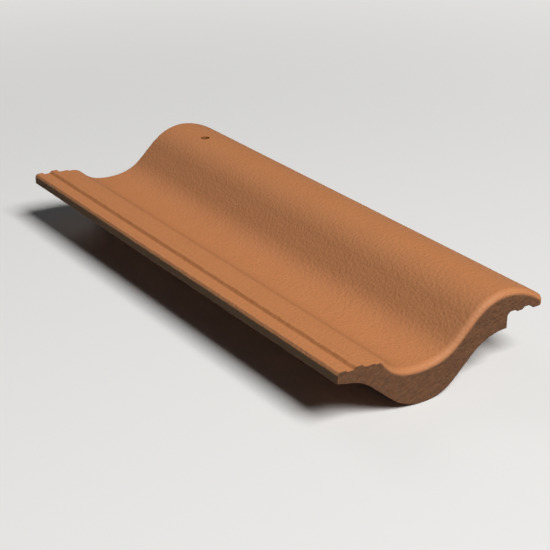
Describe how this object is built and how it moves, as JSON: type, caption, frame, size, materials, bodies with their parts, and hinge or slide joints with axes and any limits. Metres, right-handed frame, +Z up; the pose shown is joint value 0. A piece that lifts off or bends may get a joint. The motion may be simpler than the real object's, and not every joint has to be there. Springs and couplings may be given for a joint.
{
  "type": "clay roof tile",
  "caption": "Interlocking clay pantile with one pan and one roll, ribbed side laps, a rounded hanging nose at the tail, nibs and a nail hole at the head.",
  "frame": {"origin": "middle of the tile's footprint on the level it lies on", "axes": "+Y along the tile from the nose at the tail to the cut head, +Z up out of the weather face, +X across from the underlock to the overlock"},
  "size_m": [0.1846, 0.42, 0.0637],
  "materials": {
    "fired_clay": "matt fired clay with a fine grained face"
  },
  "bodies": {
    "root": {"roof_tile": "fired_clay"}
  },
  "joints": []
}
